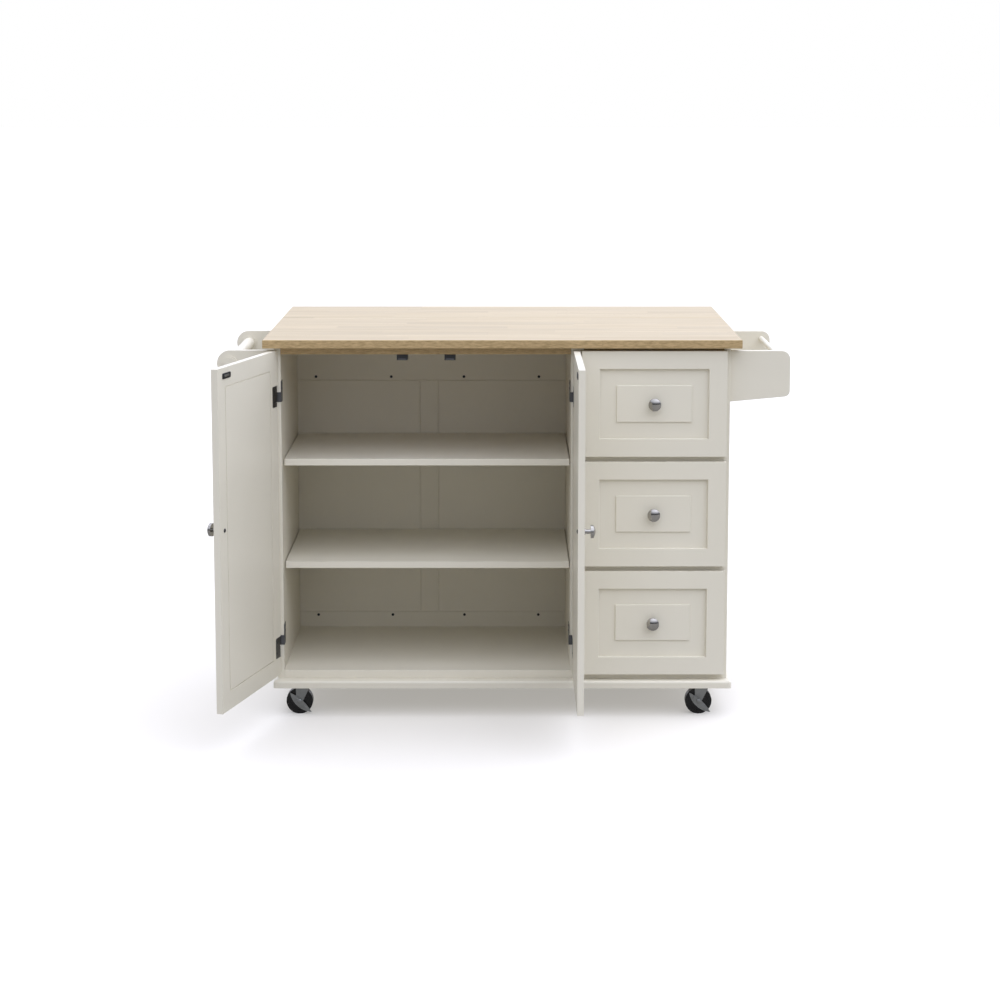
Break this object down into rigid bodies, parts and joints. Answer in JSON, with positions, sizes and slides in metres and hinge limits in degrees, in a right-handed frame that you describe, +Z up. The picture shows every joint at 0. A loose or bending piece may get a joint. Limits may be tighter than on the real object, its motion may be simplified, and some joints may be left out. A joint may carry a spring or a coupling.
{
  "type": "kitchen island cart",
  "caption": "Wheeled kitchen island with a double-door cupboard, stacked drawers, a rear drop leaf, a towel bar and a spice rack.",
  "frame": {"origin": "centre of the footprint of the whole object's box, at floor level, with the doors open and the leaf raised as at rest", "axes": "+Z up, -Y the front with doors and drawers, +X towards the drawers and the spice rack"},
  "size_m": [1.36, 1.112, 0.914],
  "materials": {
    "white_paint": "satin warm-white paint on board",
    "worktop_wood": "matt clear lacquer on solid light hardwood staves",
    "drawer_wood": "bare pale plywood",
    "knob_nickel": "satin nickel",
    "hinge_steel": "dark grey plated steel",
    "zinc_steel": "zinc plated",
    "caster_steel": "grey painted pressed steel",
    "black_steel": "black screw heads",
    "black_plastic": "matt black",
    "wheel_rubber": "black hard rubber"
  },
  "bodies": {
    "cabinet": {"worktop": "worktop_wood", "front_top_rail": "worktop_wood", "side_panel_left": "white_paint", "side_panel_right": "white_paint", "divider_left": "white_paint", "divider_right": "white_paint", "cabinet_floor": "white_paint", "back_board": "white_paint", "base_board": "white_paint", "drawer_rails": "white_paint", "shelf_upper": "white_paint", "shelf_lower": "white_paint", "shelf_pins": "zinc_steel", "back_screws": "black_steel", "door_catches": "black_plastic", "door_hinge_frames": "hinge_steel", "drawer_slides": "zinc_steel", "towel_bracket_front": "white_paint", "towel_bracket_back": "white_paint", "towel_bar": "white_paint", "spice_end_front": "white_paint", "spice_end_back": "white_paint", "spice_shelf": "white_paint", "spice_rod": "white_paint", "leaf_hinge_frames": "hinge_steel", "leaf_support_channels": "zinc_steel", "caster_plates": "caster_steel"},
    "door_left": {"door_left_panel": "white_paint", "door_left_strike": "black_plastic", "door_left_knob": "knob_nickel", "door_left_hinge_leaves": "hinge_steel"},
    "door_right": {"door_right_panel": "white_paint", "door_right_strike": "black_plastic", "door_right_knob": "knob_nickel", "door_right_hinge_leaves": "hinge_steel"},
    "drawer_top": {"drawer_top_front": "white_paint", "drawer_top_box": "drawer_wood", "drawer_top_knob": "knob_nickel"},
    "drawer_middle": {"drawer_middle_front": "white_paint", "drawer_middle_box": "drawer_wood", "drawer_middle_knob": "knob_nickel"},
    "drawer_bottom": {"drawer_bottom_front": "white_paint", "drawer_bottom_box": "drawer_wood", "drawer_bottom_knob": "knob_nickel"},
    "drop_leaf": {"leaf_board": "worktop_wood", "leaf_hinge_leaves": "hinge_steel", "leaf_strut_mounts": "zinc_steel"},
    "leaf_strut_left": {"strut_left": "zinc_steel"},
    "leaf_strut_right": {"strut_right": "zinc_steel"},
    "fork_front_left": {"caster_front_left_fork": "caster_steel"},
    "wheel_front_left": {"caster_front_left_wheel": "wheel_rubber"},
    "fork_front_right": {"caster_front_right_fork": "caster_steel"},
    "wheel_front_right": {"caster_front_right_wheel": "wheel_rubber"},
    "fork_back_left": {"caster_back_left_fork": "caster_steel"},
    "wheel_back_left": {"caster_back_left_wheel": "wheel_rubber"},
    "fork_back_right": {"caster_back_right_fork": "caster_steel"},
    "wheel_back_right": {"caster_back_right_wheel": "wheel_rubber"},
    "pedal_front_left": {"caster_front_left_pedal": "caster_steel"},
    "pedal_front_right": {"caster_front_right_pedal": "caster_steel"}
  },
  "joints": [
    {"name": "door_left_swing", "type": "hinge", "parent": "cabinet", "child": "door_left", "pos_m": [-0.542, -0.201, 0.495], "axis": [0, 0, 1], "range_deg": [-2, 106]},
    {"name": "door_right_swing", "type": "hinge", "parent": "cabinet", "child": "door_right", "pos_m": [0.172, -0.201, 0.495], "axis": [0, 0, -1], "range_deg": [-18, 90]},
    {"name": "drawer_top_slide", "type": "slide", "parent": "cabinet", "child": "drawer_top", "axis": [0, -1, 0], "range_m": [0, 0.28]},
    {"name": "drawer_middle_slide", "type": "slide", "parent": "cabinet", "child": "drawer_middle", "axis": [0, -1, 0], "range_m": [0, 0.28]},
    {"name": "drawer_bottom_slide", "type": "slide", "parent": "cabinet", "child": "drawer_bottom", "axis": [0, -1, 0], "range_m": [0, 0.28]},
    {"name": "drop_leaf_hinge", "type": "hinge", "parent": "cabinet", "child": "drop_leaf", "pos_m": [-0.003, 0.2815, 0.8905], "axis": [1, 0, 0], "range_deg": [-90, 0]},
    {"name": "strut_left_pivot", "type": "hinge", "parent": "drop_leaf", "child": "leaf_strut_left", "pos_m": [-0.303, 0.4315, 0.8785], "axis": [1, 0, 0], "range_deg": [0, 136.2]},
    {"name": "strut_right_pivot", "type": "hinge", "parent": "drop_leaf", "child": "leaf_strut_right", "pos_m": [0.297, 0.4315, 0.8785], "axis": [1, 0, 0], "range_deg": [0, 136.2]},
    {"name": "swivel_front_left", "type": "hinge", "parent": "cabinet", "child": "fork_front_left", "pos_m": [-0.485, -0.174, 0.066], "axis": [0, 0, 1], "continuous": true},
    {"name": "wheel_front_left_spin", "type": "hinge", "parent": "fork_front_left", "child": "wheel_front_left", "pos_m": [-0.493, -0.174, 0.032], "axis": [0, 1, 0], "continuous": true},
    {"name": "swivel_front_right", "type": "hinge", "parent": "cabinet", "child": "fork_front_right", "pos_m": [0.479, -0.174, 0.066], "axis": [0, 0, 1], "continuous": true},
    {"name": "wheel_front_right_spin", "type": "hinge", "parent": "fork_front_right", "child": "wheel_front_right", "pos_m": [0.471, -0.174, 0.032], "axis": [0, 1, 0], "continuous": true},
    {"name": "swivel_back_left", "type": "hinge", "parent": "cabinet", "child": "fork_back_left", "pos_m": [-0.485, 0.207, 0.066], "axis": [0, 0, 1], "continuous": true},
    {"name": "wheel_back_left_spin", "type": "hinge", "parent": "fork_back_left", "child": "wheel_back_left", "pos_m": [-0.493, 0.207, 0.032], "axis": [0, 1, 0], "continuous": true},
    {"name": "swivel_back_right", "type": "hinge", "parent": "cabinet", "child": "fork_back_right", "pos_m": [0.479, 0.207, 0.066], "axis": [0, 0, 1], "continuous": true},
    {"name": "wheel_back_right_spin", "type": "hinge", "parent": "fork_back_right", "child": "wheel_back_right", "pos_m": [0.471, 0.207, 0.032], "axis": [0, 1, 0], "continuous": true},
    {"name": "pedal_front_left_brake", "type": "hinge", "parent": "fork_front_left", "child": "pedal_front_left", "pos_m": [-0.493, -0.189, 0.032], "axis": [0, -1, 0], "range_deg": [0, 20]},
    {"name": "pedal_front_right_brake", "type": "hinge", "parent": "fork_front_right", "child": "pedal_front_right", "pos_m": [0.471, -0.189, 0.032], "axis": [0, -1, 0], "range_deg": [0, 20]}
  ],
  "couplings": [
    {"joint": "strut_left_pivot", "follows": "drop_leaf_hinge", "ratio": -1.5083},
    {"joint": "strut_right_pivot", "follows": "drop_leaf_hinge", "ratio": -1.5083}
  ]
}
